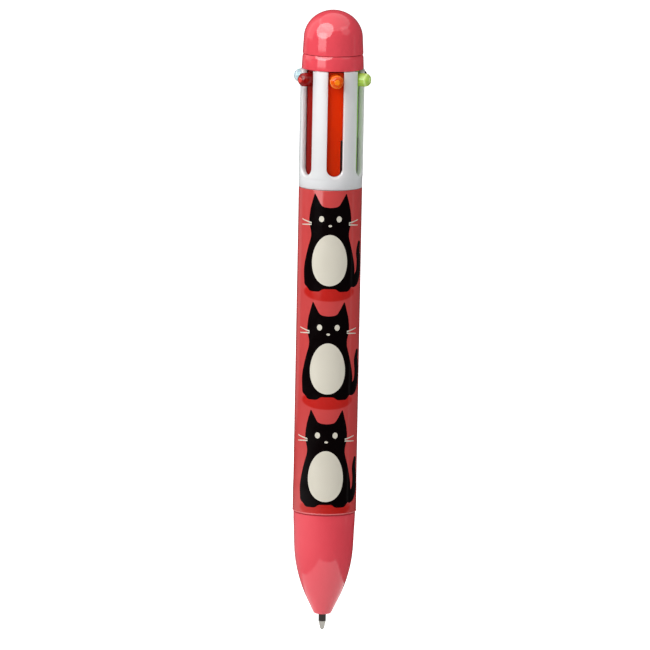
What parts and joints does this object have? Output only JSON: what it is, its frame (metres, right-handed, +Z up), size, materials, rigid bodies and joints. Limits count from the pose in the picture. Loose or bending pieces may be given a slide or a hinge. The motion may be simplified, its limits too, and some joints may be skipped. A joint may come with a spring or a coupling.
{
  "type": "multicolor click pen",
  "caption": "Ballpoint pen with coloured slide knobs in a slotted white sleeve, one refill for each knob, a straight red barrel, a rounded nose and a domed crown.",
  "frame": {"origin": "lowest point of the writing ball that is out, on the pen's axis", "axes": "+Z up the pen from the writing point to the crown, -Y the front, where the orange knob is, +X to the right seen from the front"},
  "size_m": [0.0174, 0.0194, 0.1482],
  "materials": {
    "pink_shell": "gloss moulded ABS, coral pink",
    "red_shell": "gloss moulded ABS, red, with a printed motif and printed bands",
    "white_shell": "gloss moulded ABS, cold white",
    "guide_grey": "moulded acetal, grey",
    "spring_steel": "drawn spring wire",
    "refill_tube": "clear polypropylene tube",
    "nickel_silver": "turned nickel silver",
    "carbide_ball": "polished tungsten carbide",
    "slider_orange": "gloss moulded polypropylene, orange",
    "ink_orange": "orange oil-based ink",
    "slider_light_green": "gloss moulded polypropylene, lime green",
    "ink_light_green": "lime green oil-based ink",
    "slider_black": "gloss moulded polypropylene, black",
    "ink_black": "black oil-based ink",
    "slider_dark_blue": "gloss moulded polypropylene, dark blue",
    "ink_dark_blue": "dark blue oil-based ink",
    "slider_light_blue": "gloss moulded polypropylene, pale blue",
    "ink_light_blue": "pale blue oil-based ink",
    "slider_red": "gloss moulded polypropylene, dark red",
    "ink_red": "dark red oil-based ink"
  },
  "bodies": {
    "casing": {"crown_dome": "pink_shell", "crown_collar": "pink_shell", "slotted_sleeve": "white_shell", "slider_core": "guide_grey", "barrel": "red_shell", "spring_plate": "guide_grey", "nose_cone": "pink_shell", "return_spring_orange": "spring_steel", "return_spring_light_green": "spring_steel", "return_spring_black": "spring_steel", "return_spring_dark_blue": "spring_steel", "return_spring_light_blue": "spring_steel", "return_spring_red": "spring_steel"},
    "slider_orange": {"slider_orange": "slider_orange", "refill_tube_orange": "refill_tube", "ink_orange": "ink_orange"},
    "tip_orange": {"refill_tip_orange": "nickel_silver", "tip_ball_orange": "carbide_ball"},
    "slider_light_green": {"slider_light_green": "slider_light_green", "refill_tube_light_green": "refill_tube", "ink_light_green": "ink_light_green"},
    "tip_light_green": {"refill_tip_light_green": "nickel_silver", "tip_ball_light_green": "carbide_ball"},
    "slider_black": {"slider_black": "slider_black", "refill_tube_black": "refill_tube", "ink_black": "ink_black"},
    "tip_black": {"refill_tip_black": "nickel_silver", "tip_ball_black": "carbide_ball"},
    "slider_dark_blue": {"slider_dark_blue": "slider_dark_blue", "refill_tube_dark_blue": "refill_tube", "ink_dark_blue": "ink_dark_blue"},
    "tip_dark_blue": {"refill_tip_dark_blue": "nickel_silver", "tip_ball_dark_blue": "carbide_ball"},
    "slider_light_blue": {"slider_light_blue": "slider_light_blue", "refill_tube_light_blue": "refill_tube", "ink_light_blue": "ink_light_blue"},
    "tip_light_blue": {"refill_tip_light_blue": "nickel_silver", "tip_ball_light_blue": "carbide_ball"},
    "slider_red": {"slider_red": "slider_red", "refill_tube_red": "refill_tube", "ink_red": "ink_red"},
    "tip_red": {"refill_tip_red": "nickel_silver", "tip_ball_red": "carbide_ball"}
  },
  "joints": [
    {"name": "press_orange", "type": "slide", "parent": "casing", "child": "slider_orange", "axis": [0, 0, -1], "range_m": [0, 0.0205], "stiffness_N_per_m": 60, "springref_m": -0.005, "deforming": ["return_spring_orange", "refill_tube_orange", "ink_orange", "refill_tip_orange", "tip_ball_orange"]},
    {"name": "tip_shift_orange", "type": "slide", "parent": "slider_orange", "child": "tip_orange", "axis": [0, 1, 0], "range_m": [0, 0.0043]},
    {"name": "press_light_green", "type": "slide", "parent": "casing", "child": "slider_light_green", "axis": [0, 0, -1], "range_m": [0, 0.0205], "stiffness_N_per_m": 60, "springref_m": -0.005, "deforming": ["return_spring_light_green", "refill_tube_light_green", "ink_light_green", "refill_tip_light_green", "tip_ball_light_green"]},
    {"name": "tip_shift_light_green", "type": "slide", "parent": "slider_light_green", "child": "tip_light_green", "axis": [-0.866, 0.5, 0], "range_m": [0, 0.0043]},
    {"name": "press_black", "type": "slide", "parent": "casing", "child": "slider_black", "axis": [0, 0, -1], "range_m": [0, 0.0205], "stiffness_N_per_m": 60, "springref_m": -0.005, "deforming": ["return_spring_black", "refill_tube_black", "ink_black", "refill_tip_black", "tip_ball_black"]},
    {"name": "tip_shift_black", "type": "slide", "parent": "slider_black", "child": "tip_black", "axis": [-0.866, -0.5, 0], "range_m": [0, 0.0043]},
    {"name": "release_dark_blue", "type": "slide", "parent": "casing", "child": "slider_dark_blue", "axis": [0, 0, 1], "range_m": [0, 0.0205], "deforming": ["return_spring_dark_blue", "refill_tube_dark_blue", "ink_dark_blue"]},
    {"name": "tip_shift_dark_blue", "type": "slide", "parent": "slider_dark_blue", "child": "tip_dark_blue", "axis": [0, 1, 0], "range_m": [0, 0.0043]},
    {"name": "press_light_blue", "type": "slide", "parent": "casing", "child": "slider_light_blue", "axis": [0, 0, -1], "range_m": [0, 0.0205], "stiffness_N_per_m": 60, "springref_m": -0.005, "deforming": ["return_spring_light_blue", "refill_tube_light_blue", "ink_light_blue", "refill_tip_light_blue", "tip_ball_light_blue"]},
    {"name": "tip_shift_light_blue", "type": "slide", "parent": "slider_light_blue", "child": "tip_light_blue", "axis": [0.866, -0.5, 0], "range_m": [0, 0.0043]},
    {"name": "press_red", "type": "slide", "parent": "casing", "child": "slider_red", "axis": [0, 0, -1], "range_m": [0, 0.0205], "stiffness_N_per_m": 60, "springref_m": -0.005, "deforming": ["return_spring_red", "refill_tube_red", "ink_red", "refill_tip_red", "tip_ball_red"]},
    {"name": "tip_shift_red", "type": "slide", "parent": "slider_red", "child": "tip_red", "axis": [0.866, 0.5, 0], "range_m": [0, 0.0043]}
  ],
  "couplings": [
    {"joint": "tip_shift_orange", "follows": "press_orange", "ratio": 0.2097},
    {"joint": "tip_shift_light_green", "follows": "press_light_green", "ratio": 0.2097},
    {"joint": "tip_shift_black", "follows": "press_black", "ratio": 0.2097},
    {"joint": "tip_shift_dark_blue", "follows": "release_dark_blue", "ratio": 0.2097},
    {"joint": "tip_shift_light_blue", "follows": "press_light_blue", "ratio": 0.2097},
    {"joint": "tip_shift_red", "follows": "press_red", "ratio": 0.2097}
  ]
}
